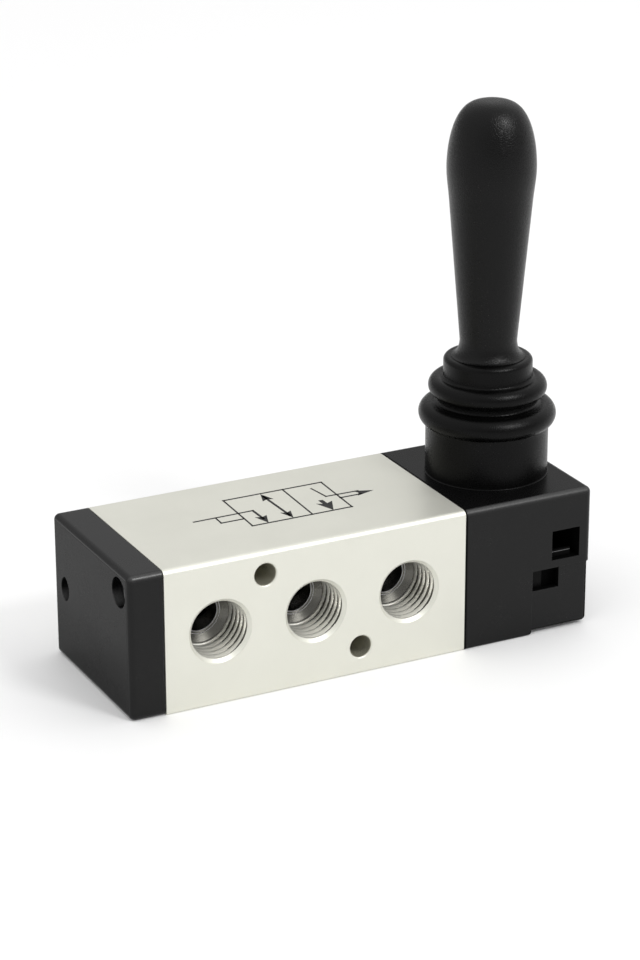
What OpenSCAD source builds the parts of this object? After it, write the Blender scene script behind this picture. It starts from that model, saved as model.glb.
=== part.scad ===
// Hand lever spool valve: five ports, two positions, G1/4 port size.
// Millimetres. Origin at the centre of the aluminium body's underside.
// +X runs from the plain end cap to the lever end, -Y is the face with three
// ports, +Z is up, along the lever as it stands at rest.

/* [Body] */
// Length of the aluminium body along X
body_l = 64.5; // [64.5:0.1:68]
// Width of the body across the port faces
body_w = 36.5; // [36.5:0.5:40]
// Height of the body
body_h = 29.6; // [29.6:0.2:31]
// Rounding of the upper long corners of the extrusion
body_r = 1.2; // [0.6:0.1:1.5]
// Rounding of the lower long corners of the extrusion
body_r_low = 0.4; // [0.3:0.1:0.6]

/* [Ports] */
// Height of the port and spool axis above the underside
axis_z = 15.1; // [15:0.1:15.3]
// Position of the supply port along X
supply_x = -0.5; // [-0.7:0.1:0]
// Distance between neighbouring ports on the front face
port_pitch = 20.25; // [20.1:0.05:20.4]
// Wall radius of the threaded length of a port
port_r = 6.58; // [6.4:0.02:6.6]
// Depth of the threaded length of a port
port_depth = 8.9; // [8.6:0.1:9.2]
// Radius of the tap drill, whose point leaves a cone behind the threads
drill_r = 5.85; // [5.7:0.05:5.9]
// Radius of the passage from the drill's cone to the spool
passage_r = 3.9; // [3.5:0.1:4]

/* [Mounting holes] */
// Radius of the through holes
mount_r = 2.25; // [2.1:0.05:2.3]
// X of the upper hole
mount_x1 = -11.2; // [-11.5:0.1:-11]
// Z of the upper hole
mount_z1 = 24.8; // [24.7:0.1:25.2]
// X of the lower hole
mount_x2 = 9.2; // [9:0.1:9.4]
// Z of the lower hole
mount_z2 = 5.6; // [5.2:0.1:5.6]

/* [End cap] */
// Length of the end cap along X
cap_l = 7.1; // [7:0.1:9]
// Edge rounding of the black mouldings
edge_r = 1.2; // [1:0.1:1.4]

/* [Lever housing] */
// Length of the lever housing along X
hous_l = 28.45; // [28.45:0.05:29]
// X of the lever axis
lever_x = 47.1; // [46.9:0.1:47.2]
// Outer radius of the turret that carries the boot
turret_r = 10.3; // [10.1:0.1:10.3]
// Height of the top of the turret
turret_top = 38.8; // [37.3:0.5:39.3]

/* [Lever] */
// Distance from the pivot pin to the spool axis
arm = 15; // [15:0.1:15.2]
// Radius of the pivot pin
pin_r = 1.5; // [1.4:0.05:1.5]

/* [Hidden] */

e = 0.01;
bx = body_l / 2;              // half length of the body
by = body_w / 2;              // half width
bore_r = 5;                   // spool bore of the body
gasket_l = 0.2;               // end cap gasket
gasket_h = 0.3;               // lever housing gasket
cap_x1 = -bx - gasket_l;      // inner face of the cap
cap_x0 = cap_x1 - cap_l;      // outer face of the cap
hx0 = bx + gasket_h;          // inner face of the housing
hx1 = hx0 + hous_l;           // outer face of the housing
pivot_z = axis_z + arm;       // height of the pivot pin

// sealing points along the spool, counted from the supply port
seal_s = [-26.5, -13.85, -6.25, 6.25, 13.85, 26.5];
seal_t = 1.2;                 // thickness of a seal
seal_or = 4.97;               // outer radius of the seals
land_r = 3.3;                 // spool land
// detent: distance of the two grooves from the ball's place
det_x = 38.5;
travel = arm * 10 * PI / 180; // spool travel each way

// screw places in the end faces
cap_screw = [[-13.1, 25.1, 1.25], [12.7, 15.5, 1]];   // with the thread's radius
cap_pocket = [-13.8, 25.1, 3.05];                     // round pocket over the upper screw
hous_screw = [[-14, 25.4], [14, 25.4], [-14, 4.4], [14, 4.4]];

// ---------- helpers ----------
module xcyl(x0, x1, y, z, r, fn = 64)
    translate([x0, y, z]) rotate([0, 90, 0]) cylinder(r = r, h = x1 - x0, $fn = fn);
module ycyl(x, y0, y1, z, r, fn = 64)
    translate([x, y1, z]) rotate([90, 0, 0]) cylinder(r = r, h = y1 - y0, $fn = fn);
module zcyl(x, y, z0, z1, r, fn = 64)
    translate([x, y, z0]) cylinder(r = r, h = z1 - z0, $fn = fn);
module block(x0, x1, y0, y1, z0, z1)
    translate([x0, y0, z0]) cube([x1 - x0, y1 - y0, z1 - z0]);

// flat outline with other radii at the lower corners (r0) than at the upper ones (r1 >= r0)
module rrect2(a0, a1, b0, b1, r0, r1) {
    translate([a0 + r1, b0]) square([a1 - a0 - 2 * r1, b1 - b0]);
    translate([a0, b0 + r0]) square([a1 - a0, b1 - b0 - r0 - r1]);
    translate([a0 + r0, b0]) square([a1 - a0 - 2 * r0, (b1 - b0) / 2]);
    for (a = [a0 + r0, a1 - r0]) translate([a, b0 + r0]) circle(r0, $fn = 48);
    for (a = [a0 + r1, a1 - r1]) translate([a, b1 - r1]) circle(r1, $fn = 48);
}

// box with every edge and corner rounded to the radius r
module ballbox(x0, x1, y0, y1, z0, z1, r) {
    block(x0, x1, y0 + r, y1 - r, z0 + r, z1 - r);
    block(x0 + r, x1 - r, y0, y1, z0 + r, z1 - r);
    block(x0 + r, x1 - r, y0 + r, y1 - r, z0, z1);
    for (y = [y0 + r, y1 - r], z = [z0 + r, z1 - r]) xcyl(x0 + r, x1 - r, y, z, r, 48);
    for (x = [x0 + r, x1 - r], z = [z0 + r, z1 - r]) ycyl(x, y0 + r, y1 - r, z, r, 48);
    for (x = [x0 + r, x1 - r], y = [y0 + r, y1 - r]) zcyl(x, y, z0 + r, z1 - r, r, 48);
    for (x = [x0 + r, x1 - r], y = [y0 + r, y1 - r], z = [z0 + r, z1 - r])
        translate([x, y, z]) sphere(r, $fn = 48);
}

// ring along X
module xring(x0, x1, ro, ri) {
    difference() {
        xcyl(x0, x1, 0, axis_z, ro);
        xcyl(x0 - 1, x1 + 1, 0, axis_z, ri);
    }
}

// socket head screw along X, head towards the side given by dir
module xscrew(xh, y, z, len, head_r, head_l, r, dir, hex = 1.44) {
    // xh is the plane under the head; the shank runs by len away from the head
    difference() {
        union() {
            translate([xh, y, z]) rotate([0, dir * 90, 0]) cylinder(r = head_r, h = head_l, $fn = 48);
            translate([xh, y, z]) rotate([0, -dir * 90, 0]) cylinder(r = r, h = len, $fn = 48);
        }
        translate([xh + dir * (head_l - 1.4), y, z]) rotate([0, dir * 90, 0])
            cylinder(r = hex, h = 3, $fn = 6);
    }
}

// ---------- body ----------
// one port, on the front face for side -1 and on the rear face for side 1
module port(x, side) {
    ylen(x, side, by + 1, by - port_depth, port_r, 96);
    // cone left by the point of a 118 degree drill
    translate([x, side * (by - port_depth + e), axis_z]) rotate([side * 90, 0, 0])
        cylinder(r1 = drill_r, r2 = passage_r, h = (drill_r - passage_r) / tan(59) + e, $fn = 96);
    ylen(x, side, by + 1, 1, passage_r);
}
module ylen(x, side, y_out, y_in, r, fn = 64)
    ycyl(x, min(side * y_in, side * y_out), max(side * y_in, side * y_out), axis_z, r, fn);
module mount_hole(x, z) {
    ycyl(x, -by - 1, by + 1, z, mount_r);
    // countersinks at both faces
    translate([x, -by - e, z]) rotate([-90, 0, 0])
        cylinder(r1 = mount_r + 0.25, r2 = mount_r, h = 0.25, $fn = 64);
    translate([x, by + e, z]) rotate([90, 0, 0])
        cylinder(r1 = mount_r + 0.25, r2 = mount_r, h = 0.25, $fn = 64);
}
module valve_body() {
    color([0.87, 0.87, 0.83])
    difference() {
        translate([-bx, 0, 0]) rotate([90, 0, 90])
            linear_extrude(body_l) rrect2(-by, by, 0, body_h, body_r_low, body_r);
        xcyl(-bx - 1, bx + 1, 0, axis_z, bore_r, 96);
        for (k = [-1, 0, 1]) port(supply_x + k * port_pitch, -1);
        for (k = [-0.5, 0.5]) port(supply_x + k * port_pitch, 1);
        mount_hole(mount_x1, mount_z1);
        mount_hole(mount_x2, mount_z2);
        for (s = cap_screw) xcyl(-bx - 1, -bx + 9.5, s[0], s[1], s[2] + 0.03);
        for (s = hous_screw) xcyl(bx - 9.5, bx + 1, s[0], s[1], 1.53);
    }
}

// ---------- plain end ----------
module end_cap() {
    color([0.1, 0.1, 0.1])
    difference() {
        ballbox(cap_x0, cap_x1 + 4, -by, by, 0, body_h, edge_r);
        block(cap_x1, cap_x1 + 6, -by - 1, by + 1, -1, body_h + 1);
        // room for the spool's end
        xcyl(cap_x1 - 3.2, cap_x1 + 1, 0, axis_z, 4.5);
        // round pocket of the upper screw, with a lip along its front side
        xcyl(cap_x0 - 1, cap_x0 + 0.4, cap_pocket[0], cap_pocket[1], cap_pocket[2]);
        difference() {
            xcyl(cap_x0 - 1, cap_x0 + 4.2, cap_pocket[0], cap_pocket[1], cap_pocket[2]);
            xcyl(cap_x0 + 0.4, cap_x0 + 5, cap_pocket[0] - 4.15, cap_pocket[1] + 0.9, 2.6);
        }
        // lens-shaped pocket of the lower screw
        intersection() {
            xcyl(cap_x0 - 1, cap_x0 + 3.4, cap_screw[1][0] - 0.69, cap_screw[1][1], 2.64);
            xcyl(cap_x0 - 1, cap_x0 + 3.4, cap_screw[1][0] + 0.69, cap_screw[1][1], 2.64);
        }
        for (s = cap_screw) xcyl(cap_x0 - 1, cap_x1 + 1, s[0], s[1], s[2] + 0.15);
    }
}
module end_cap_gasket() {
    color([0.06, 0.06, 0.06])
    difference() {
        block(cap_x1, -bx, -by + 0.5, by - 0.5, 0.5, body_h - 0.5);
        xcyl(cap_x1 - 1, -bx + 1, 0, axis_z, 4.9);
        for (s = cap_screw) xcyl(cap_x1 - 1, -bx + 1, s[0], s[1], s[2] + 0.2);
    }
}
module end_cap_screws() {
    color([0.25, 0.25, 0.27]) {
        xscrew(cap_x0 + 4.2, cap_screw[0][0], cap_screw[0][1], cap_l - 4.2 + gasket_l + 8.5, 2.2, 2.4, cap_screw[0][2], -1, 1.15);
        xscrew(cap_x0 + 3.4, cap_screw[1][0], cap_screw[1][1], cap_l - 3.4 + gasket_l + 8.5, 1.85, 2, cap_screw[1][2], -1, 0.87);
    }
}

// ---------- lever end ----------
// the lower outer corner that the end cover fills
corner_x = 47.7;
corner_z = 13.75;
cover_in = 0.25;              // how far the cover sits inside the housing's faces
win_hi = [52, 58.3, 15.35, 21.6];
win_lo = [47.8, 53.8, 9.4, 13.7];

module lever_housing() {
    color([0.12, 0.12, 0.12])
    difference() {
        union() {
            // outer end with its round corners
            difference() {
                ballbox(hx0 - 5, hx1, -by, by, 0, body_h, edge_r);
                block(hx0 - 6, hx0, -by - 1, by + 1, -1, body_h + 1);
                block(hx0 - 6, hx1 + 1, -by - 1, by + 1, -1, corner_z);
            }
            // foot of the body side, with crisper lower edges
            intersection() {
                translate([hx0, 0, 0]) rotate([90, 0, 90])
                    linear_extrude(corner_x - hx0) rrect2(-by, by, 0, body_h, 0.5, edge_r);
                union() {
                    block(hx0 - 1, corner_x - 1, -by - 1, by + 1, -1, corner_z + 2);
                    block(hx0 - 1, corner_x + 1, -by - 1, by + 1, 1, corner_z + 2);
                    ycyl(corner_x - 1, -by - 1, by + 1, 1, 1, 48);
                }
            }
            // locating ribs behind the lower windows, under the end cover
            for (s = [-1, 1]) block(corner_x - 1, 50.7, min(s * 11.5, s * 16.6), max(s * 11.5, s * 16.6), 3, corner_z + 1);
            zcyl(lever_x, 0, body_h - 1, turret_top, turret_r, 96);
        }
        // lever chamber
        difference() {
            block(36, corner_x + 0.01, -10.5, 10.5, 3, 27);
            // seat of the detent
            zcyl(det_x, 0, 2, 10.5, 3.6);
        }
        block(corner_x, hx1 - 2.6, -10.5, 10.5, 3, 27);
        // pockets behind the windows, for the cover's tongues
        for (s = [-1, 1]) block(50, hx1 - 2.6, min(s * 10.4, s * 15.6), max(s * 10.4, s * 15.6), 3, 21.7);
        // turret bore and pin holes
        zcyl(lever_x, 0, 26, turret_top + 1, 8.4, 96);
        ycyl(lever_x, -turret_r - 1, turret_r + 1, pivot_z, pin_r + 0.02);
        // way in for the spool's stem
        xcyl(hx0 - 1, 36.5, 0, axis_z, 4.45);
        // windows in both side walls
        block(win_hi[0], win_hi[1], -by - 1, -by + 3, win_hi[2], win_hi[3]);
        block(win_hi[0], win_hi[1], by - 3, by + 1, win_hi[2], win_hi[3]);
        // detent bore and thread
        zcyl(det_x, 0, 4, 12, 1.6);
        zcyl(det_x, 0, -1, 5, 2.02);
        // screws: pockets from the outer end and clearance holes
        for (s = hous_screw) {
            xcyl(40, hx1 + 1, s[0], s[1], 2.95);
            xcyl(hx0 - 1, 41, s[0], s[1], 1.65);
        }
    }
}
module housing_gasket() {
    color([0.06, 0.06, 0.06])
    difference() {
        block(bx, hx0, -by + 0.5, by - 0.5, 0.5, body_h - 0.5);
        xcyl(bx - 1, hx0 + 1, 0, axis_z, 4.9);
        for (s = hous_screw) xcyl(bx - 1, hx0 + 1, s[0], s[1], 1.7);
    }
}
module housing_screws() {
    color([0.25, 0.25, 0.27])
    for (s = hous_screw) xscrew(40, s[0], s[1], 40 - bx + 8.5, 2.7, 3, 1.5, 1);
}
module housing_end_cover() {
    c = cover_in;
    color([0.13, 0.13, 0.13])
    difference() {
        union() {
            difference() {
                // shell: side walls, floor and end wall, open inwards and upwards
                ballbox(corner_x - 4, hx1 - c, -by + c, by - c, 0.5, corner_z + 4, edge_r - 0.1);
                block(corner_x - 5, corner_x + 0.08, -by - 1, by + 1, -1, corner_z + 6);
                block(corner_x - 5, hx1 + 1, -by - 1, by + 1, corner_z - 0.08, corner_z + 6);
                block(corner_x - 5, hx1 - 2.4, -16.75, 16.75, 2.2, corner_z + 6);
            }
            for (s = [-1, 1]) {
                // snap tongue, its web to the side wall and its hook
                block(51.5, 57.2, min(s * 14, s * 15.4), max(s * 14, s * 15.4), 1.5, 15.9);
                block(54.1, hx1 - 2, min(s * 14.2, s * 17), max(s * 14.2, s * 17), 1.5, 13);
                block(52.2, 56.9, min(s * 15.3, s * 17), max(s * 15.3, s * 17), 15.45, 15.9);
                block(52.2, 56.9, min(s * 16.4, s * 17), max(s * 16.4, s * 17), 15.6, 17);
            }
        }
        // lower windows
        block(win_lo[0] - 1, win_lo[1], -by - 1, -16.7, win_lo[2], win_lo[3] + 1);
        block(win_lo[0] - 1, win_lo[1], 16.7, by + 1, win_lo[2], win_lo[3] + 1);
        // ways to the lower housing screws
        for (s = [0, 1]) xcyl(corner_x, hx1 + 1, hous_screw[2 + s][0], hous_screw[2 + s][1], 2.95);
    }
}

// ---------- detent ----------
ball_z = axis_z - 3.2 - 0.04 - 1.5;
module detent_ball() {
    color([0.7, 0.7, 0.72]) translate([det_x, 0, ball_z]) sphere(1.5, $fn = 32);
}
// round wire wound into a coil: centre line radius c, wire radius w, height h
module coil(c, w, h, turns) {
    k = 14;                   // rings in a turn
    m = 8;                    // sides of the wire
    n = k * turns;
    rise = atan(h / turns / (2 * PI * c));
    pts = [for (i = [0:n], j = [0:m - 1])
        let (a = 360 * i / k, b = 360 * j / m, r = c + w * cos(b))
        [r * cos(a) + w * sin(b) * sin(rise) * sin(a),
         r * sin(a) - w * sin(b) * sin(rise) * cos(a),
         h * i / n + w * sin(b) * cos(rise)]];
    faces = concat(
        [[for (j = [0:m - 1]) j]],
        [for (i = [0:n - 1], j = [0:m - 1])
            [i * m + j, (i + 1) * m + j, (i + 1) * m + (j + 1) % m, i * m + (j + 1) % m]],
        [[for (j = [m - 1:-1:0]) n * m + j]]);
    polyhedron(pts, faces, convexity = 10);
}
module detent_spring() {
    // compression spring between the ball and the plug
    w = 0.22;
    z0 = 5.05 + w;
    z1 = ball_z - 1.5 - 0.05 - w;
    color([0.6, 0.6, 0.62])
    translate([det_x, 0, z0]) coil(1.15, w, z1 - z0, 5);
}
module detent_plug() {
    color([0.3, 0.3, 0.32])
    difference() {
        zcyl(det_x, 0, 0.5, 5, 2, 48);
        translate([det_x, 0, 0]) cylinder(r = 1.15, h = 2.4, $fn = 6);
    }
}

// ---------- spool and seals ----------
function sx(s) = supply_x + s;
module spool() {
    color([0.75, 0.75, 0.77])
    difference() {
        union() {
            xcyl(sx(-30.3), sx(30.3), 0, axis_z, 2.1, 48);
            xcyl(sx(-30.3), sx(-22.7), 0, axis_z, land_r);
            xcyl(sx(-10.05 - 2.4), sx(-10.05 + 2.4), 0, axis_z, land_r);
            xcyl(sx(10.05 - 2.4), sx(10.05 + 2.4), 0, axis_z, land_r);
            xcyl(sx(22.7), sx(30.3), 0, axis_z, land_r);
            xcyl(sx(30.2), 43.9, 0, axis_z, 3.2);
            xcyl(43.8, 52.1, 0, axis_z, 4.2);
        }
        // hole for the lever's ball end
        zcyl(lever_x, 0, 8, 22, 2.46, 48);
        // two detent grooves, one for each end of the travel
        for (g = [det_x - travel, det_x + travel])
            translate([g, 0, axis_z]) rotate([0, 90, 0])
                rotate_extrude($fn = 48)
                    polygon([[2.6, 0], [3.6, -1.4], [3.6, 1.4]]);
    }
}
module spool_seals() {
    color([0.08, 0.08, 0.08])
    for (s = seal_s) xring(sx(s) - seal_t / 2, sx(s) + seal_t / 2, seal_or, land_r + 0.03);
}
// spacer between two seals, with windows all round
module spacer(s0, s1, slot_l) {
    x0 = sx(s0) + seal_t / 2;
    x1 = sx(s1) - seal_t / 2;
    m = (x0 + x1) / 2;
    difference() {
        xring(x0, x1, 4.96, 4);
        for (a = [0, 60, 120])
            translate([m, 0, axis_z]) rotate([a, 0, 0]) {
                translate([-slot_l / 2 + 1.5, 0, -9]) cylinder(r = 1.5, h = 18, $fn = 32);
                translate([slot_l / 2 - 1.5, 0, -9]) cylinder(r = 1.5, h = 18, $fn = 32);
                translate([-slot_l / 2 + 1.5, -1.5, -9]) cube([slot_l - 3, 3, 18]);
            }
    }
}
module port_spacers_wide() {
    color([0.16, 0.16, 0.16]) {
        spacer(seal_s[0], seal_s[1], 7.6);
        spacer(seal_s[2], seal_s[3], 7.6);
        spacer(seal_s[4], seal_s[5], 7.6);
    }
}
module port_spacers_narrow() {
    color([0.16, 0.16, 0.16]) {
        spacer(seal_s[1], seal_s[2], 4.6);
        spacer(seal_s[3], seal_s[4], 4.6);
    }
}
module end_bushes() {
    color([0.72, 0.58, 0.3]) {
        xring(-bx + 0.1, sx(seal_s[0]) - seal_t / 2, 4.97, land_r + 0.05);
        xring(sx(seal_s[5]) + seal_t / 2, bx - 0.1, 4.97, land_r + 0.05);
    }
}

// ---------- lever ----------
module lever_rod() {
    color([0.68, 0.68, 0.7])
    difference() {
        union() {
            translate([lever_x, 0, axis_z]) sphere(2.4, $fn = 48);
            zcyl(lever_x, 0, axis_z, 21, 1.5, 48);
            translate([lever_x, 0, 20.9]) cylinder(r1 = 1.5, r2 = 2.6, h = 3.1, $fn = 48);
            zcyl(lever_x, 0, 23.9, 30.4, 2.6, 48);
            ycyl(lever_x, -7, 7, pivot_z, 4.2);
            zcyl(lever_x, 0, 30.4, 49.9, 3.6, 48);
            zcyl(lever_x, 0, 49.8, 84.3, 3, 48);
        }
        ycyl(lever_x, -8, 8, pivot_z, pin_r + 0.04);
    }
}
module pivot_pin() {
    color([0.75, 0.75, 0.77]) ycyl(lever_x, -10.2, 10.2, pivot_z, pin_r, 48);
}
module pivot_bushes() {
    color([0.72, 0.58, 0.3])
    for (s = [-1, 1]) difference() {
        ycyl(lever_x, s > 0 ? 7.05 : -7.9, s > 0 ? 7.9 : -7.05, pivot_z, 2.6);
        ycyl(lever_x, -9, 9, pivot_z, pin_r + 0.02);
    }
}
module lever_nut() {
    color([0.4, 0.4, 0.42])
    difference() {
        translate([lever_x, 0, 50]) cylinder(r = 5.7, h = 2.6, $fn = 6);
        zcyl(lever_x, 0, 49, 54, 3.02, 48);
    }
}
module grip_insert() {
    color([0.78, 0.62, 0.28])
    translate([lever_x, 0, 0]) rotate_extrude($fn = 48)
        polygon([[3.02, 54.7], [4.6, 54.7], [4.6, 57.3], [4.1, 57.7], [4.1, 58.9], [4.6, 59.3],
                 [4.6, 63.3], [4.1, 63.7], [4.1, 64.9], [4.6, 65.3], [4.6, 68.3], [3.02, 68.3]]);
}

// outer radius of the grip at height z above the underside
foot_z = 53.95;
waist_z = 57.25;
dome_z = 92.4;
dome_h = 13.3;
function foot_r(z) = 5.71 + 1.7 * (1 - sqrt(1 - pow((waist_z - z) / (waist_z - foot_z), 2)));
function taper_r(z) = 5.71 + 0.0868 * (z - waist_z);
function dome_r(z) = 8.79 * pow(max(0, 1 - pow((z - dome_z) / dome_h, 1.94)), 0.3);
grip_out = concat(
    [for (i = [0:8]) let (z = foot_z + (waist_z - foot_z) * i / 8) [foot_r(z), z]],
    [for (z = [60, 65, 70, 75, 80, 85]) [taper_r(z), z]],
    [[8.44, 88.7], [8.65, 90.8]],
    [for (i = [0:19]) let (z = dome_z + dome_h * sin(90 * i / 20)) [dome_r(z), z]],
    [[0, dome_z + dome_h]]);
module handle_grip() {
    color([0.11, 0.11, 0.11])
    translate([lever_x, 0, 0]) rotate_extrude($fn = 96)
        polygon(concat(
            [[0, 85.3], [3.2, 85.3], [3.2, 68.5], [4.63, 68.5], [4.63, foot_z]],
            grip_out));
}

// ---------- boot ----------
// arc of a ring of the boot: centre (c, z), radius r, from angle a0 to a1
function arc(c, z, r, a0, a1, n) =
    [for (i = [0:n]) let (a = a0 + (a1 - a0) * i / n) [c + r * cos(a), z + r * sin(a)]];
boot_out = concat(
    [[12.2, 29.65], [12.3, 29.8], [12.3, 39.55]],
    arc(11.4, 42, 2.35, -66, 126, 14),
    [[10.0, 44], [10.0, 45.65]],
    arc(9.95, 47.65, 1.9, -86, 122, 12),
    [[8.9, 49.35], [8.9, 52.75]],
    arc(7.9, 52.85, 1.0, 0, 90, 5),
    [[3.12, 53.85]]);
boot_in = [[3.12, 52.75], [6.2, 52.75], [6.2, 49.85], [7.3, 49.15], [8.8, 47.65], [8.6, 46.25],
           [8.5, 45.25], [8.6, 43.85], [10.4, 43.15], [10.9, 41.95], [10.35, 40.25], [10.35, 29.65]];
module bellows_boot() {
    color([0.09, 0.09, 0.09])
    translate([lever_x, 0, 0]) rotate_extrude($fn = 96)
        polygon(concat(boot_out, boot_in));
}

valve_body();
end_cap();
end_cap_gasket();
end_cap_screws();
lever_housing();
housing_gasket();
housing_screws();
housing_end_cover();
bellows_boot();
spool();
spool_seals();
port_spacers_wide();
port_spacers_narrow();
end_bushes();
detent_ball();
detent_spring();
detent_plug();
lever_rod();
pivot_pin();
pivot_bushes();
lever_nut();
grip_insert();
handle_grip();
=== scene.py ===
import bpy, bmesh, math, random
import numpy as np
from mathutils import Vector, Matrix


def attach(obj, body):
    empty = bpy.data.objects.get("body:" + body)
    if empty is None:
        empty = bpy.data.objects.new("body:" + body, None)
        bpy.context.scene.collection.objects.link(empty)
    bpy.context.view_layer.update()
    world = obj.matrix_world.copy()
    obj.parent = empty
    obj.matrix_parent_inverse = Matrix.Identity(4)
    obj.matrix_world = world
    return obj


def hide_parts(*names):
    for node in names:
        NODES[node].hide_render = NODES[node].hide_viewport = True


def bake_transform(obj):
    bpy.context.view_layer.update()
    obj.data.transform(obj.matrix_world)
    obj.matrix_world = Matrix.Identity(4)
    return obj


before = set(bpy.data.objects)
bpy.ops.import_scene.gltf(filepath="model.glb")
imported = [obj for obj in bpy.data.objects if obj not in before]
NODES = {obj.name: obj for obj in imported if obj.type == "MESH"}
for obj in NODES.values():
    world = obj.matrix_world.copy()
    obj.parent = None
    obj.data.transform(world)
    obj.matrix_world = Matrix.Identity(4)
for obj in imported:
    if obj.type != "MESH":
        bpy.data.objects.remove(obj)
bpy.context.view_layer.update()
MM = 0.001
random.seed(7)


# ---------------------------------------------------------------- camera
def basis(az, el, roll):
    a, e, r = (math.radians(v) for v in (az, el, roll))
    back = Vector((math.sin(a) * math.cos(e), -math.cos(a) * math.cos(e), math.sin(e)))
    x = Vector((0, 0, 1)).cross(back).normalized()
    y = back.cross(x)
    return (math.cos(r) * x + math.sin(r) * y, -math.sin(r) * x + math.cos(r) * y, back)


cx, cy, cb = basis(-26.93404444, 21.59008559, -0.1222228)
cam_data = bpy.data.cameras.new("camera")
cam_data.sensor_width = 36.0
cam_data.sensor_fit = "AUTO"
cam_data.lens = 116.071
cam_data.clip_start = 0.02
cam_data.clip_end = 20.0
cam = bpy.data.objects.new("camera", cam_data)
bpy.context.scene.collection.objects.link(cam)
m = Matrix.Identity(4)
for i, v in enumerate((cx, cy, cb)):
    for j in range(3):
        m[j][i] = v[j]
m.translation = Vector((-0.245524, -0.502201, 0.256803))
cam.matrix_world = m
bpy.context.scene.camera = cam


# ---------------------------------------------------------------- node helpers
class Nodes:
    """A small builder of shader node trees."""

    def __init__(self, name):
        self.mat = bpy.data.materials.new(name)
        self.mat.use_nodes = True
        self.nt = self.mat.node_tree
        for n in list(self.nt.nodes):
            self.nt.nodes.remove(n)
        self.out = self.nt.nodes.new("ShaderNodeOutputMaterial")
        self.bsdf = self.nt.nodes.new("ShaderNodeBsdfPrincipled")
        self.nt.links.new(self.bsdf.outputs[0], self.out.inputs[0])
        self.coord = self.nt.nodes.new("ShaderNodeTexCoord")
        self.pos = self.coord.outputs["Object"]

    def link(self, a, b):
        self.nt.links.new(a, b)

    def put(self, **kw):
        for k, v in kw.items():
            self.bsdf.inputs[k.replace("_", " ").title().replace("Ior", "IOR")].default_value = v

    def mapping(self, scale=(1, 1, 1), rot=(0, 0, 0)):
        n = self.nt.nodes.new("ShaderNodeMapping")
        n.inputs["Scale"].default_value = scale
        n.inputs["Rotation"].default_value = rot
        self.link(self.pos, n.inputs["Vector"])
        return n.outputs[0]

    def noise(self, size_mm, detail=2.0, rough=0.5, vec=None, distort=0.0):
        n = self.nt.nodes.new("ShaderNodeTexNoise")
        n.inputs["Scale"].default_value = 1000.0 / size_mm
        n.inputs["Detail"].default_value = detail
        n.inputs["Roughness"].default_value = rough
        n.inputs["Distortion"].default_value = distort
        self.link(vec or self.pos, n.inputs["Vector"])
        return n.outputs[0]

    def voronoi(self, size_mm, feature="F1", vec=None, rand=1.0, smooth=None):
        n = self.nt.nodes.new("ShaderNodeTexVoronoi")
        n.feature = feature
        n.inputs["Scale"].default_value = 1000.0 / size_mm
        n.inputs["Randomness"].default_value = rand
        if smooth is not None and feature == "SMOOTH_F1":
            n.inputs["Smoothness"].default_value = smooth
        self.link(vec or self.pos, n.inputs["Vector"])
        return n.outputs["Distance"]

    def math(self, op, a, b=None, clamp=False):
        n = self.nt.nodes.new("ShaderNodeMath")
        n.operation = op
        n.use_clamp = clamp
        for s, v in ((0, a), (1, b)):
            if v is None:
                continue
            if isinstance(v, (int, float)):
                n.inputs[s].default_value = v
            else:
                self.link(v, n.inputs[s])
        return n.outputs[0]

    def ramp(self, fac, stops, linear=True):
        n = self.nt.nodes.new("ShaderNodeValToRGB")
        n.color_ramp.interpolation = "LINEAR" if linear else "EASE"
        els = n.color_ramp.elements
        while len(els) < len(stops):
            els.new(0.5)
        for el_, (p, c) in zip(els, stops):
            el_.position = p
            el_.color = (c, c, c, 1) if isinstance(c, (int, float)) else (*c, 1)
        self.link(fac, n.inputs[0])
        return n.outputs[0]

    def mix(self, fac, a, b):
        n = self.nt.nodes.new("ShaderNodeMix")
        n.data_type = "RGBA"
        for s, v in ((0, fac), (6, a), (7, b)):
            if isinstance(v, (int, float)):
                n.inputs[s].default_value = v
            elif isinstance(v, tuple):
                n.inputs[s].default_value = (*v, 1)
            else:
                self.link(v, n.inputs[s])
        return n.outputs[2]

    def range(self, v, a, b, c, d):
        n = self.nt.nodes.new("ShaderNodeMapRange")
        self.link(v, n.inputs["Value"])
        for k, x in (("From Min", a), ("From Max", b), ("To Min", c), ("To Max", d)):
            n.inputs[k].default_value = x
        return n.outputs[0]

    def bump(self, height, dist_mm, strength=1.0, normal=None):
        n = self.nt.nodes.new("ShaderNodeBump")
        n.inputs["Strength"].default_value = strength
        n.inputs["Distance"].default_value = dist_mm * MM
        self.link(height, n.inputs["Height"])
        if normal is not None:
            self.link(normal, n.inputs["Normal"])
        return n.outputs[0]

    def edge(self, radius_mm):
        n = self.nt.nodes.new("ShaderNodeBevel")
        n.samples = 6
        n.inputs["Radius"].default_value = radius_mm * MM
        return n.outputs[0]

    def color(self, v):
        self.link(v, self.bsdf.inputs["Base Color"])

    def rough(self, v):
        self.link(v, self.bsdf.inputs["Roughness"])

    def normal(self, v):
        self.link(v, self.bsdf.inputs["Normal"])


# ---------------------------------------------------------------- materials
PORT_Z = 15.1
FRONT_X = (-20.75, -0.5, 19.75)
REAR_X = (-10.625, 9.625)
HOLES = ((-11.2, 24.8), (9.2, 5.6))


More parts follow.
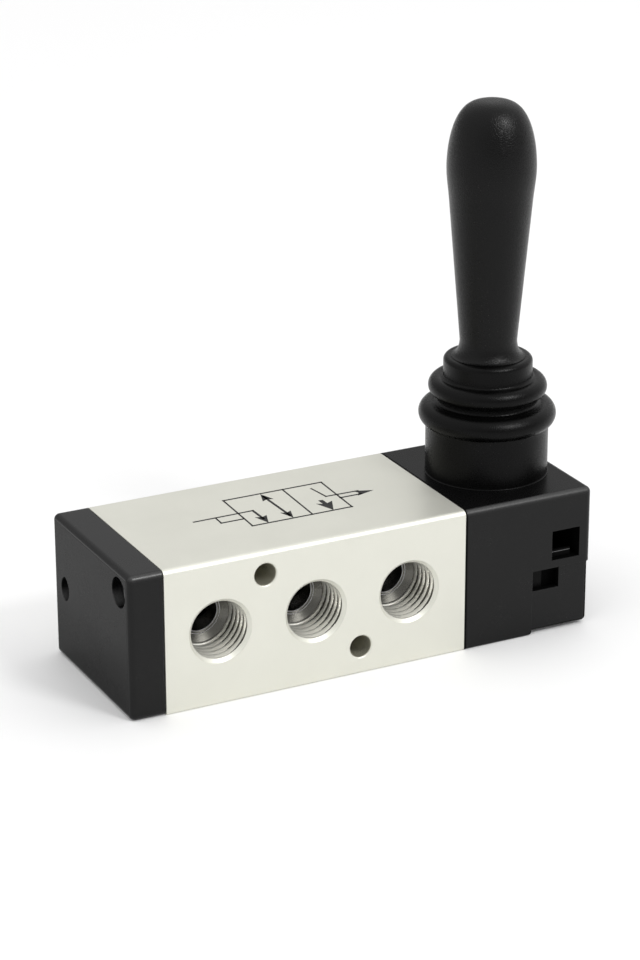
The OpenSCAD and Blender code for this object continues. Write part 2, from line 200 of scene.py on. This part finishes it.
def hole_masks(n):
    """1 inside the ports and 1 inside the cross holes of the body, else 0."""
    sep = n.nt.nodes.new("ShaderNodeSeparateXYZ")
    n.link(n.pos, sep.inputs[0])
    X, Y, Z = sep.outputs

    def sq(v, c):
        d = n.math("SUBTRACT", v, c * MM)
        return n.math("MULTIPLY", d, d)

    def least(vals):
        out = vals[0]
        for v in vals[1:]:
            out = n.math("MINIMUM", out, v)
        return out
    front = least([sq(X, x) for x in FRONT_X])
    rear = least([sq(X, x) for x in REAR_X])
    is_front = n.math("LESS_THAN", Y, 0.0)
    dx2 = n.math("ADD", rear, n.math("MULTIPLY", is_front, n.math("SUBTRACT", front, rear)))
    d2 = n.math("ADD", dx2, sq(Z, PORT_Z))
    inside = n.math("LESS_THAN", n.math("ABSOLUTE", Y), 18.2 * MM)
    port = n.math("MULTIPLY", n.math("LESS_THAN", d2, (6.61 * MM) ** 2), inside)
    h2 = least([n.math("ADD", sq(X, x), sq(Z, z)) for x, z in HOLES])
    hole = n.math("MULTIPLY", n.math("LESS_THAN", h2, (2.31 * MM) ** 2), inside)
    rim = n.math("LESS_THAN", h2, (2.80 * MM) ** 2)
    return port, hole, rim


def anodised(name="anodised_aluminium", holes=False):
    n = Nodes(name)
    n.bsdf.inputs["Specular IOR Level"].default_value = 0.5
    fine = n.noise(0.16, 3.0, 0.6)
    cloud = n.noise(9.0, 3.0, 0.55)
    c1 = n.mix(n.range(cloud, 0.3, 0.7, 0.0, 1.0), (0.732, 0.729, 0.655), (0.756, 0.753, 0.679))
    c2 = n.mix(n.range(fine, 0.35, 0.65, 0.0, 0.22), c1, (0.69, 0.688, 0.620))
    r = n.math("ADD", n.range(cloud, 0.25, 0.75, 0.43, 0.48), n.range(fine, 0.3, 0.7, -0.02, 0.03))
    metal = 0.58
    if holes:
        port, hole, rim = hole_masks(n)
        # painted shade: the bores deep in the ports get a very dark base colour
        c2 = n.mix(port, c2, (0.13, 0.127, 0.113))
        c2 = n.mix(hole, c2, (0.60, 0.585, 0.49))
        any_ = n.math("MAXIMUM", port, hole)
        r = n.math("ADD", r, n.math("MULTIPLY", any_, -0.17))
        met = n.math("ADD", n.math("MULTIPLY", port, 0.30), n.math("MULTIPLY", hole, 0.10))
        n.link(n.math("ADD", met, metal), n.bsdf.inputs["Metallic"])
    else:
        n.put(metallic=metal)
    corner = n.edge(0.12)
    if holes:
        n.link(n.range(rim, 0.0, 1.0, 0.12 * MM, 0.36 * MM), corner.node.inputs["Radius"])
    n.color(c2)
    n.rough(r)
    b = n.bump(n.noise(0.22, 3.0, 0.65), 0.012, 0.35, corner)
    n.normal(n.bump(n.noise(6.0, 2.0, 0.5), 0.01, 0.10, b))
    return n.mat


def moulding(name="black_moulding", base=0.0032, rough=0.24, spec=0.225, edge=0.16, top=None, painted_edge_highlight=0.0):
    n = Nodes(name)
    n.bsdf.inputs["Specular IOR Level"].default_value = spec
    fine = n.noise(0.30, 3.0, 0.6)
    cloud = n.noise(7.0, 3.0, 0.6)
    c = n.mix(n.range(cloud, 0.3, 0.7, 0.0, 1.0), (base, base, base * 1.02), (base * 1.3, base * 1.3, base * 1.32))
    c = n.mix(n.range(fine, 0.62, 0.80, 0.0, 0.30), c, (base * 2.2,) * 3)
    if top:
        # painted shade: the base colour is darker towards the bottom and paler towards the top
        sep = n.nt.nodes.new("ShaderNodeSeparateXYZ")
        n.link(n.pos, sep.inputs[0])
        c = n.mix(n.range(sep.outputs[2], 4 * MM, 15 * MM, 0.0, 1.0), c, (top,) * 3)
    if painted_edge_highlight:
        # painted highlight: a paler, grainy base colour on the rounded edges between the top and the front and back
        # faces
        ns = n.nt.nodes.new("ShaderNodeSeparateXYZ")
        n.link(n.coord.outputs["Normal"], ns.inputs[0])
        up = n.math("MAXIMUM", ns.outputs[2], 0.0)
        w = n.math("MULTIPLY", n.math("MULTIPLY", n.math("ABSOLUTE", ns.outputs[1]), up), 2.0)
        w = n.math("MULTIPLY", n.math("POWER", w, 1.6), n.range(n.noise(0.22, 2.0, 0.6), 0.3, 0.7, 0.5, 1.0))
        c = n.mix(w, c, (painted_edge_highlight,) * 3)
    n.color(c)
    n.rough(n.math("ADD", n.range(cloud, 0.3, 0.7, rough - 0.03, rough + 0.03),
                   n.range(fine, 0.3, 0.7, -0.03, 0.03)))
    b = n.bump(n.voronoi(0.42, "SMOOTH_F1", smooth=0.6), 0.014, 0.28, n.edge(edge))
    n.normal(n.bump(n.noise(0.2, 3.0, 0.6), 0.010, 0.30, b))
    return n.mat


def leather(name, base, rough, cell=0.85, depth=0.035, strength=0.6, spec=0.3):
    n = Nodes(name)
    n.bsdf.inputs["Specular IOR Level"].default_value = spec
    warp = n.noise(2.5, 2.0, 0.5)
    cells = n.voronoi(cell, "DISTANCE_TO_EDGE")
    crack = n.range(cells, 0.0, 0.16, 0.0, 1.0)
    fine = n.noise(0.25, 3.0, 0.6)
    cloud = n.noise(8.0, 3.0, 0.55)
    c = n.mix(n.range(cloud, 0.3, 0.7, 0.0, 1.0), (base, base, base), (base * 1.3, base * 1.29, base * 1.27))
    c = n.mix(n.math("MULTIPLY", n.math("SUBTRACT", 1.0, crack), 0.5), c, (base * 0.55,) * 3)
    n.color(c)
    n.rough(n.math("ADD", n.range(cloud, 0.3, 0.7, rough - 0.03, rough + 0.04),
                   n.range(fine, 0.3, 0.7, -0.03, 0.03)))
    h = n.math("ADD", crack, n.math("MULTIPLY", n.noise(0.9, 2.0, 0.5), 0.9))
    b = n.bump(h, depth, strength)
    n.normal(n.bump(fine, 0.01, 0.25, b))
    return n.mat


def rubber(name="smooth_rubber", base=0.004, rough=0.5, spec=0.4):
    n = Nodes(name)
    n.bsdf.inputs["Specular IOR Level"].default_value = spec
    cloud = n.noise(3.0, 3.0, 0.6)
    n.color(n.mix(cloud, (base,) * 3, (base * 1.6,) * 3))
    n.rough(n.range(cloud, 0.3, 0.7, rough - 0.05, rough + 0.05))
    n.normal(n.bump(n.noise(0.15, 2.0, 0.6), 0.006, 0.4))
    return n.mat


def steel(name, color, rough, streak=(1, 1, 0.06), dark=0.7):
    n = Nodes(name)
    n.put(metallic=1.0)
    s = n.noise(0.12, 3.0, 0.6, vec=n.mapping(streak))
    cloud = n.noise(4.0, 3.0, 0.6)
    c = n.mix(n.range(s, 0.3, 0.7, 0.0, 0.5), color, tuple(v * dark for v in color))
    n.color(n.mix(n.range(cloud, 0.4, 0.8, 0.0, 0.35), c, tuple(v * 0.85 for v in color)))
    n.rough(n.math("ADD", n.range(cloud, 0.3, 0.7, rough - 0.04, rough + 0.05), n.range(s, 0.3, 0.7, -0.03, 0.04)))
    n.normal(n.bump(s, 0.006, 0.35))
    return n.mat


def machined(name="machined_aluminium"):
    n = Nodes(name)
    n.put(metallic=0.66)
    s = n.noise(0.30, 3.0, 0.6, vec=n.mapping((0.25, 1.0, 0.25)))
    cloud = n.noise(2.5, 3.0, 0.6)
    c = n.mix(n.range(s, 0.3, 0.7, 0.0, 0.5), (0.95, 0.94, 0.875), (0.84, 0.832, 0.77))
    n.color(n.mix(n.range(cloud, 0.4, 0.8, 0.0, 0.3), c, (0.88, 0.872, 0.81)))
    n.rough(n.math("ADD", n.range(cloud, 0.3, 0.7, 0.33, 0.38), n.range(s, 0.3, 0.7, -0.02, 0.03)))
    n.normal(n.bump(s, 0.003, 0.15))
    return n.mat


def ink(name="printed_ink"):
    n = Nodes(name)
    n.bsdf.inputs["Specular IOR Level"].default_value = 0.3
    f = n.noise(0.25, 3.0, 0.6)
    n.color(n.mix(n.range(f, 0.35, 0.75, 0.0, 1.0), (0.006, 0.006, 0.006), (0.013, 0.013, 0.012)))
    n.rough(n.range(f, 0.3, 0.7, 0.45, 0.6))
    n.normal(n.bump(f, 0.004, 0.3))
    return n.mat


M_BODY = anodised(holes=True)
# the moulding carries a painted highlight on its rounded upper edges
M_MOULD = moulding(painted_edge_highlight=0.075)
M_COVER = moulding("black_moulding_cover", 0.0032, 0.25)
# painted shade: the cap's end face is darker towards the bottom and paler towards the top
M_CAPEND = moulding("black_moulding_end_face", 0.0020, 0.26, spec=0.04, top=0.014)
# painted shade for the faces inside the windows
M_DARK = moulding("painted_shade_window_inside", 0.0012, 0.6, spec=0.06)
# painted shade, less dark, for the rib inside the lower window
M_RIB = moulding("black_moulding_rib", 0.0016, 0.4, spec=0.09)
# painted highlight for the upper edges of the hooks
M_LEDGE = moulding("painted_highlight_hook_edge", 0.09, 0.4, spec=0.4)
M_GRIP = leather("grip_leather_grain", 0.0018, 0.27, cell=0.42, depth=0.024, strength=0.7, spec=0.17)
M_BOOT = leather("boot_rubber_grain", 0.0014, 0.27, cell=0.36, depth=0.016, strength=0.6, spec=0.11)
M_RUBBER = rubber()
M_GASKET = rubber("gasket_rubber", 0.0012, 0.6, spec=0.05)
M_MOUTH = anodised("anodised_port_mouth")
M_BLACKSTEEL = steel("black_oxide_steel", (0.06, 0.06, 0.065), 0.42)
M_STEEL = steel("ground_steel", (0.60, 0.60, 0.61), 0.26)
M_SPOOL = steel("spool_metal", (0.56, 0.56, 0.58), 0.22, streak=(1, 0.1, 0.1))
M_ACETAL = moulding("spacer_acetal", 0.006, 0.4)
M_BRASS = steel("turned_brass", (0.70, 0.52, 0.24), 0.28)
M_INK = ink()
M_THREAD = machined()
# painted shade for the roots of the port threads
M_ROOT = steel("painted_shade_thread_root", (0.11, 0.107, 0.095), 0.36)
# painted shade: a weaker-reflecting, slightly darker copy of the moulding for the housing's top
M_TOP = moulding("black_moulding_top_face", 0.0028, 0.26, spec=0.08)
M_LIP = moulding("bright_lip", 0.60, 0.3, spec=0.9)

BY_NODE = {
    "valve_body": M_BODY, "end_cap": M_MOULD, "end_cap_gasket": M_GASKET, "end_cap_screws": M_BLACKSTEEL,
    "lever_housing": M_MOULD, "housing_gasket": M_GASKET, "housing_screws": M_BLACKSTEEL,
    "housing_end_cover": M_COVER, "bellows_boot": M_BOOT, "spool": M_SPOOL, "spool_seals": M_RUBBER,
    "port_spacers_wide": M_ACETAL, "port_spacers_narrow": M_ACETAL, "end_bushes": M_BRASS,
    "detent_ball": M_STEEL, "detent_spring": M_STEEL, "detent_plug": M_BLACKSTEEL, "lever_rod": M_STEEL,
    "pivot_pin": M_STEEL, "pivot_bushes": M_BRASS, "lever_nut": M_STEEL, "grip_insert": M_BRASS,
    "handle_grip": M_GRIP,
}
for name, mat_ in BY_NODE.items():
    o = NODES[name]
    o.data.materials.clear()
    o.data.materials.append(mat_)




def darken(node, keep):
    """Gives the faces inside the windows of a CAD node a darker material as painted shade, apart from those that
    keep() names.
    """
    o = NODES[node]
    o.data.materials.append(M_DARK)
    k = len(o.data.materials) - 1
    for p in o.data.polygons:
        c = p.center / MM
        if 47.75 < c.x < 60.6 and abs(c.y) < 17.95 and 1.0 < c.z < 22.5 and not keep(c, p.normal):
            p.material_index = k


def refinish(node, mat_new, test):
    """Gives the faces of a CAD node that test() picks another material."""
    o = NODES[node]
    o.data.materials.append(mat_new)
    k = len(o.data.materials) - 1
    for p in o.data.polygons:
        if test(p.center / MM, p.normal):
            p.material_index = k


# the cap's flat end face gets its own material with much weaker reflection, and painted shade: its base colour is
# darker towards the bottom and paler towards the top
refinish("end_cap", M_CAPEND, lambda c, nrm: nrm.x < -0.98 and c.x < -39.5)
# painted shade: the housing's flat top gets a copy of the moulding with weaker reflection and a slightly darker base
# colour
refinish("lever_housing", M_TOP, lambda c, nrm: nrm.z > 0.98 and c.z > 28)
# painted shade on the faces inside the windows
darken("lever_housing", lambda c, nrm: False)
darken("housing_end_cover", lambda c, nrm: False)
# painted shade, lighter than the rest of the windows: the locating rib's faces get a less dark copy of the moulding
refinish("lever_housing", M_RIB, lambda c, nrm: 47.75 < c.x < 50.75 and 16.5 < abs(c.y) < 17.95 and 1.0 < c.z < 22.5)


# ---------------------------------------------------------------- mesh helpers
def new_object(name, verts, faces, mat_, smooth=True):
    me = bpy.data.meshes.new(name)
    me.from_pydata(verts, [], faces)
    me.validate()
    bm = bmesh.new()
    bm.from_mesh(me)
    bmesh.ops.remove_doubles(bm, verts=bm.verts, dist=1e-8)
    bmesh.ops.recalc_face_normals(bm, faces=bm.faces)
    bm.to_mesh(me)
    bm.free()
    if smooth:
        for p in me.polygons:
            p.use_smooth = True
    me.materials.append(mat_)
    ob = bpy.data.objects.new(name, me)
    bpy.context.scene.collection.objects.link(ob)
    return ob


def sharp_by_angle(ob, deg):
    me = ob.data
    bm = bmesh.new()
    bm.from_mesh(me)
    lim = math.radians(deg)
    for e in bm.edges:
        if len(e.link_faces) == 2:
            e.smooth = e.calc_face_angle(0.0) < lim
        else:
            e.smooth = False
    bm.to_mesh(me)
    bm.free()


def lathe(name, profile, centre, mat_, seg=160, closed=True, sharp=35):
    """Turns a profile of (radius, height) in mm about a vertical axis at centre (x, y) in mm."""
    verts, faces, rings = [], [], []
    for r, z in profile:
        if r < 1e-6:
            rings.append([len(verts)])
            verts.append((centre[0] * MM, centre[1] * MM, z * MM))
        else:
            ring = []
            for k in range(seg):
                a = 2 * math.pi * k / seg
                ring.append(len(verts))
                verts.append(((centre[0] + r * math.cos(a)) * MM, (centre[1] + r * math.sin(a)) * MM, z * MM))
            rings.append(ring)
    n = len(rings)
    for i in range(n if closed else n - 1):
        a, b = rings[i], rings[(i + 1) % n]
        if len(a) == 1 and len(b) == 1:
            continue
        for k in range(seg):
            k2 = (k + 1) % seg
            if len(a) == 1:
                faces.append((a[0], b[k], b[k2]))
            elif len(b) == 1:
                faces.append((a[k], b[0], a[k2]))
            else:
                faces.append((a[k], b[k], b[k2], a[k2]))
    ob = new_object(name, verts, faces, mat_)
    sharp_by_angle(ob, sharp)
    return ob


def resample(points, step):
    """Points along a polyline, at most step apart, keeping the corners."""
    out = [points[0]]
    for (a, b) in zip(points[:-1], points[1:]):
        d = math.hypot(b[0] - a[0], b[1] - a[1])
        k = max(1, int(math.ceil(d / step)))
        for i in range(1, k + 1):
            out.append((a[0] + (b[0] - a[0]) * i / k, a[1] + (b[1] - a[1]) * i / k))
    return out


def arc(c, z, r, a0, a1, n):
    return [(c + r * math.cos(math.radians(a0 + (a1 - a0) * i / n)),
             z + r * math.sin(math.radians(a0 + (a1 - a0) * i / n))) for i in range(n + 1)]


LX = 47.1

# ---------------------------------------------------------------- grip
FOOT_Z, WAIST_Z, DOME_Z, DOME_H = 53.95, 57.25, 92.4, 13.3


def grip_radius(z):
    if z < WAIST_Z:
        return 5.71 + 1.7 * (1 - math.sqrt(max(0.0, 1 - ((WAIST_Z - z) / (WAIST_Z - FOOT_Z)) ** 2)))
    if z < 86.3:
        return 5.71 + 0.0868 * (z - WAIST_Z)
    if z < DOME_Z:
        h = DOME_Z - 86.3
        t = (z - 86.3) / h
        a, b = 5.71 + 0.0868 * (86.3 - WAIST_Z), 8.79
        # cubic with the taper's slope at the start and none at the end
        return (2 * t**3 - 3 * t**2 + 1) * a + (t**3 - 2 * t**2 + t) * h * 0.0868 + (-2 * t**3 + 3 * t**2) * b
    return 8.79 * max(0.0, 1 - ((z - DOME_Z) / DOME_H) ** 1.94) ** 0.3


foot_zs = [FOOT_Z + (WAIST_Z - FOOT_Z) * (1 - math.cos(math.pi / 2 * i / 14)) for i in range(15)]
dome_zs = [DOME_Z + DOME_H * math.sin(math.pi / 2 * i / 48) for i in range(48)]
grip_prof = [(4.63, 54.1), (6.8, 54.1), (7.0, 53.88), (7.40, 53.88)]
grip_prof += [(grip_radius(z), z) for z in foot_zs + list(np.arange(58.25, 92.3, 1.0)) + dome_zs]
grip_prof += [(0.0, DOME_Z + DOME_H)]
inner = [(0.0, 85.3), (3.2, 85.3), (3.2, 68.5), (4.63, 68.5)]
grip = lathe("grip_handle", grip_prof + inner, (LX, 0.0), M_GRIP, seg=160, sharp=40)
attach(grip, "lever")
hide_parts("handle_grip")

# ---------------------------------------------------------------- boot
def bezier(a, c, b, n=8):
    """Curve from a to b that leaves and arrives along the lines to c."""
    out = []
    for i in range(n + 1):
        t = i / n
        out.append(tuple((1 - t) ** 2 * a[k] + 2 * t * (1 - t) * c[k] + t * t * b[k] for k in (0, 1)))
    return out


boot_out = (bezier((12.46, 29.66), (12.3, 29.70), (12.3, 29.95), 6) + [(12.3, 39.55)]
            + arc(11.4, 42.0, 2.35, -66, 108, 30)
            + bezier((10.67, 44.24), (10.0, 44.40), (10.0, 44.85))
            + [(10.0, 45.6)]
            + arc(9.95, 47.65, 1.9, -86, 106, 26)
            + bezier((9.42, 49.48), (8.9, 49.62), (8.9, 50.05))
            + [(8.9, 52.75)]
            + arc(7.9, 52.85, 1.0, 0, 90, 12)
            + [(7.0, 53.85)])
boot_in = [(3.12, 53.85), (3.12, 52.75), (6.2, 52.75), (6.2, 49.85), (7.3, 49.15), (8.8, 47.65), (8.6, 46.25),
           (8.5, 45.25), (8.6, 43.85), (10.4, 43.15), (10.9, 41.95), (10.35, 40.25), (10.35, 29.63)]
boot = lathe("boot_bellows", resample(boot_out, 0.8) + boot_in, (LX, 0.0), M_BOOT, seg=160, sharp=50)
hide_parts("bellows_boot")
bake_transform(boot)


# ---------------------------------------------------------------- port threads
def smooth(v):
    v = np.clip(v, 0, 1)
    return v * v * (3 - 2 * v)


def thread_sleeve(name, x, side, depth=8.9, pitch=1.6):
    """Threaded lining of a port with its mouth chamfer. side is -1 for the front face, 1 for the rear."""
    seg = 160
    face = 18.25
    z0 = PORT_Z
    r_out, r_min = 6.62, 5.86
    ys = np.arange(0.0, depth - 0.02 + 1e-9, 0.07)
    ang = 2 * np.pi * np.arange(seg) / seg
    d, a = np.meshgrid(ys, ang, indexing="ij")
    # each turn: a steep flank that faces inwards, then a long one that faces the mouth and ends in a rounded crest
    u = ((d - 0.55) / pitch - side * a / (2 * np.pi)) % 1.0
    t = np.where(u < 0.14, smooth(u / 0.14), 1 - smooth((u - 0.14) / 0.86 * 0.92 + 0.04))
    run = smooth((d - 0.80) / 0.35) * (1 - smooth((d - 8.2) / 0.4))
    r = r_min + run * 0.50 * t
    # mouth cone, blended into the turns
    cone = 6.60 - d
    w = 0.018
    r = np.logaddexp(r / w, cone / w) * w
    r = np.minimum(r, r_out - 0.02)
    verts, faces = [], []
    for i in range(len(ys)):
        for k_ in range(seg):
            verts.append(((x + r[i, k_] * math.cos(ang[k_])) * MM, side * (face + 0.0015 - ys[i]) * MM,
                          (z0 + r[i, k_] * math.sin(ang[k_])) * MM))
    for dd in (ys[-1], 0.0):
        for k_ in range(seg):
            verts.append(((x + r_out * math.cos(ang[k_])) * MM, side * (face + 0.0015 - dd) * MM,
                          (z0 + r_out * math.sin(ang[k_])) * MM))
    nr = len(ys) + 2
    for i in range(nr):
        i2 = (i + 1) % nr
        for k_ in range(seg):
            k2 = (k_ + 1) % seg
            faces.append((i * seg + k_, i2 * seg + k_, i2 * seg + k2, i * seg + k2))
    ob = new_object(name, verts, faces, M_THREAD)
    ob.data.materials.append(M_MOUTH)
    ob.data.materials.append(M_ROOT)
    for p in ob.data.polygons:
        c = p.center / MM
        dd = face - abs(c.y)
        aa = math.atan2(c.z - z0, c.x - x)
        if dd < 0.70:
            p.material_index = 1
        elif dd < 8.3 and math.hypot(c.z - z0, c.x - x) < 6.55:
            # painted shade: a dark material in the roots of the turns, over more of each turn towards the left and
            # right of the bore
            uu = ((dd - 0.55) / pitch - side * aa / (2 * math.pi)) % 1.0
            if uu < 0.29 + 0.32 * max(0.0, math.cos(aa + 0.25)) ** 2:
                p.material_index = 2
    sharp_by_angle(ob, 75)
    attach(ob, "housing")
    return ob


def port_lips(name, x, side):
    """Two fine raised rings where the drill's cone meets the passage."""
    verts, faces = [], []
    seg, k = 120, 10
    for r0, rb in ((3.93, 0.10), (4.36, 0.09)):
        d0 = 8.9 + (5.85 - r0) / math.tan(math.radians(59)) - 0.02
        b0 = len(verts)
        for i in range(seg):
            a_ = 2 * math.pi * i / seg
            for j in range(k):
                t_ = 2 * math.pi * j / k
                r_ = r0 + rb * math.cos(t_)
                verts.append(((x + r_ * math.cos(a_)) * MM, side * (18.25 - d0 + rb * math.sin(t_)) * MM,
                              (PORT_Z + r_ * math.sin(a_)) * MM))
        for i in range(seg):
            for j in range(k):
                i2, j2 = (i + 1) % seg, (j + 1) % k
                faces.append((b0 + i * k + j, b0 + i2 * k + j, b0 + i2 * k + j2, b0 + i * k + j2))
    ob = new_object(name, verts, faces, M_LIP)
    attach(ob, "housing")
    return ob


for i, x in enumerate(FRONT_X):
    port_lips(f"port_lips_front_{i + 1}", x, -1)
    thread_sleeve(f"port_thread_front_{i + 1}", x, -1)
for i, x in enumerate(REAR_X):
    port_lips(f"port_lips_rear_{i + 1}", x, 1)
    thread_sleeve(f"port_thread_rear_{i + 1}", x, 1)

# ---------------------------------------------------------------- gasket's squeezed edge at the housing's seam
def section(grow):
    """The body's outline in (y, z), in mm, grown by a small distance."""
    out = []
    for (cy_, cz_, r_, a0) in ((17.05, 28.4, 1.2, 0), (-17.05, 28.4, 1.2, 90), (-17.85, 0.4, 0.4, 180), (17.85, 0.4, 0.4, 270)):
        for i in range(9):
            a_ = math.radians(a0 + 90 * i / 8)
            out.append((cy_ + (r_ + grow) * math.cos(a_), cz_ + (r_ + grow) * math.sin(a_)))
    return out


bx1 = max(v.co.x for v in NODES["valve_body"].data.vertices) / MM
rings_ = [(bx1 - 0.02, 0.0015), (bx1 + 0.46, 0.0015), (bx1 + 0.46, -0.3), (bx1 - 0.02, -0.3)]
vs_, fs_, ns_ = [], [], 36
for x_, g_ in rings_:
    vs_ += [(x_ * MM, y_ * MM, max(z_, 0.0) * MM) for y_, z_ in section(g_)]
for i in range(4):
    for j in range(ns_):
        i2, j2 = (i + 1) % 4, (j + 1) % ns_
        fs_.append((i * ns_ + j, i2 * ns_ + j, i2 * ns_ + j2, i * ns_ + j2))
seam = new_object("seam_bead", vs_, fs_, M_GASKET)
sharp_by_angle(seam, 40)
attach(seam, "housing")

# ---------------------------------------------------------------- painted highlight: pale strips along the upper edges of the cover's hooks
for side, label in ((-1, "front"), (1, "rear")):
    vs_ = [(x_ * MM, side * y_ * MM, z_ * MM) for x_ in (52.25, 56.85) for y_ in (16.98, 17.05) for z_ in (16.53, 16.67)]
    fs_ = [(0, 1, 3, 2), (4, 6, 7, 5), (0, 4, 5, 1), (2, 3, 7, 6), (0, 2, 6, 4), (1, 5, 7, 3)]
    edge_line = new_object(f"hook_edge_{label}", vs_, fs_, M_LEDGE, smooth=False)
    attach(edge_line, "housing")

# ---------------------------------------------------------------- printed valve diagram
INK_V, INK_F = [], []
Z_INK = (29.59, 29.614)


def ink_poly(pts):
    """A flat closed outline in mm, raised by the thickness of the ink."""
    area = sum(a[0] * b[1] - b[0] * a[1] for a, b in zip(pts, pts[1:] + pts[:1]))
    if area < 0:
        pts = pts[::-1]
    b0 = len(INK_V)
    n = len(pts)
    for z in Z_INK:
        for p in pts:
            INK_V.append(((p[0] + 0.034 * (p[1] - 1.4)) * MM, p[1] * MM, z * MM))
    INK_F.append(tuple(b0 + n + i for i in range(n)))
    INK_F.append(tuple(b0 + n - 1 - i for i in range(n)))
    for i in range(n):
        j = (i + 1) % n
        INK_F.append((b0 + i, b0 + j, b0 + n + j, b0 + n + i))


def ink_line(a, b, w=0.38, ext=True):
    dx, dy = b[0] - a[0], b[1] - a[1]
    d = math.hypot(dx, dy)
    ux, uy = dx / d, dy / d
    w = w + 0.13 * abs(ux)
    e_ = w / 2 if ext else 0.0
    px, py = -uy * w / 2, ux * w / 2
    ink_poly([(a[0] - ux * e_ + px, a[1] - uy * e_ + py), (b[0] + ux * e_ + px, b[1] + uy * e_ + py),
              (b[0] + ux * e_ - px, b[1] + uy * e_ - py), (a[0] - ux * e_ - px, a[1] - uy * e_ - py)])


def ink_head(pts, k=1.22):
    """An arrowhead whose first point is its tip, enlarged by k about that tip."""
    t = pts[0]
    ink_poly([(t[0] + k * (q[0] - t[0]), t[1] + k * (q[1] - t[1])) for q in pts])


# two switching squares
X0, X1, Y0, Y1, XD = -7.6, 13.93, -5.78, 8.5, 5.33
for a, b in (((X0, Y0), (X1, Y0)), ((X1, Y0), (X1, Y1)), ((X1, Y1), (X0, Y1)), ((X0, Y1), (X0, Y0)), ((XD, Y0), (XD, Y1))):
    ink_line(a, b)
# lever line on the left and its small box
ink_line((-17.07, 1.11), (-4.45, 1.21))
ink_line((-12.52, 1.09), (-12.49, -1.77))
ink_line((-12.49, -1.77), (-7.73, -1.79))
ink_line((-4.45, 1.21), (-4.22, -3.4), 0.55)
ink_head([(-4.16, -5.71), (-5.25, -2.72), (-4.20, -3.15), (-3.15, -2.72)])
# double arrow
ink_line((0.44, 6.9), (1.12, -4.3), 0.55)
ink_head([(0.36, 8.22), (-0.50, 5.30), (0.47, 5.78), (1.50, 5.40)])
ink_head([(1.24, -5.68), (0.15, -2.80), (1.10, -3.30), (2.05, -2.80)])
# right square
ink_line((10.72, 6.32), (11.62, 1.31))
ink_line((11.62, 1.31), (18.53, 1.11))
ink_line((13.92, -0.59), (18.46, -0.61))
ink_head([(9.95, -5.66), (8.50, -2.05), (9.50, -2.60), (9.40, -0.95), (10.20, -1.05), (10.28, -2.62), (11.40, -2.05)])
# detent arrow on the right
ink_head([(21.55, -0.01), (18.25, 1.20), (18.85, 0.12), (18.25, -0.95)])
dia = new_object("printed_diagram", INK_V, INK_F, M_INK, smooth=False)
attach(dia, "housing")

# ---------------------------------------------------------------- stage
fl = Nodes("pale_floor")
fl.bsdf.inputs["Specular IOR Level"].default_value = 0.25
fl.color(fl.mix(fl.noise(60.0, 3.0, 0.5), (0.925, 0.925, 0.925), (0.935, 0.935, 0.935)))
fl.bsdf.inputs["Roughness"].default_value = 0.6
fl.bsdf.inputs["Emission Color"].default_value = (1, 1, 1, 1)
fl.bsdf.inputs["Emission Strength"].default_value = 0.035
me = bpy.data.meshes.new("floor")
S = 8.0
me.from_pydata([(-S, -S, 0), (S, -S, 0), (S, S, 0), (-S, S, 0)], [], [(0, 1, 2, 3)])
me.materials.append(fl.mat)
floor = bpy.data.objects.new("floor", me)
bpy.context.scene.collection.objects.link(floor)

# ---------------------------------------------------------------- light
WORLD = (0.40, 0.80, 0.50)    # strength at the horizon, what the zenith adds, what the two sides add
world = bpy.data.worlds.new("studio")
bpy.context.scene.world = world
world.use_nodes = True
wn = world.node_tree
for n_ in list(wn.nodes):
    wn.nodes.remove(n_)
w_out = wn.nodes.new("ShaderNodeOutputWorld")
w_bg = wn.nodes.new("ShaderNodeBackground")
w_tc = wn.nodes.new("ShaderNodeTexCoord")
w_sep = wn.nodes.new("ShaderNodeSeparateXYZ")


def w_math(op, a, b):
    n_ = wn.nodes.new("ShaderNodeMath")
    n_.operation = op
    for k_, v_ in ((0, a), (1, b)):
        if isinstance(v_, float):
            n_.inputs[k_].default_value = v_
        else:
            wn.links.new(v_, n_.inputs[k_])
    return n_.outputs[0]


wn.links.new(w_tc.outputs["Generated"], w_sep.inputs[0])
w_up = w_math("MULTIPLY", w_math("POWER", w_math("MAXIMUM", w_sep.outputs["Z"], 0.0), 1.5), WORLD[1])
w_side = w_math("MULTIPLY", w_math("MULTIPLY", w_sep.outputs["X"], w_sep.outputs["X"]), WORLD[2])
wn.links.new(w_math("ADD", w_math("ADD", w_up, w_side), WORLD[0]), w_bg.inputs[1])
w_bg.inputs[0].default_value = (1.0, 1.0, 1.0, 1.0)
wn.links.new(w_bg.outputs[0], w_out.inputs[0])


def area(name, loc, target, size, power, color=(1, 1, 1), size_y=None):
    d = bpy.data.lights.new(name, "AREA")
    d.shape = "RECTANGLE" if size_y else "SQUARE"
    d.size = size
    if size_y:
        d.size_y = size_y
    d.energy = power
    d.color = color
    ob = bpy.data.objects.new(name, d)
    bpy.context.scene.collection.objects.link(ob)
    ob.location = loc
    ob.rotation_euler = (Vector(target) - Vector(loc)).to_track_quat("-Z", "Y").to_euler()
    return ob


KEY = Vector((0.28, -0.66, 0.70)).normalized() * 1.15
area("key", tuple(Vector((0.02, 0, 0.04)) + KEY), (0.02, 0, 0.04), 0.22, 3.3)

area("soft_reflection", tuple(Vector((0.02, 0, 0.04)) + KEY * 1.02), (0.02, 0, 0.04), 0.60, 4.8)
bpy.data.objects["soft_reflection"].visible_diffuse = False

vs = bpy.context.scene.view_settings
vs.view_transform = "Standard"
vs.look = "None"
vs.exposure = 0.0
vs.gamma = 1.0
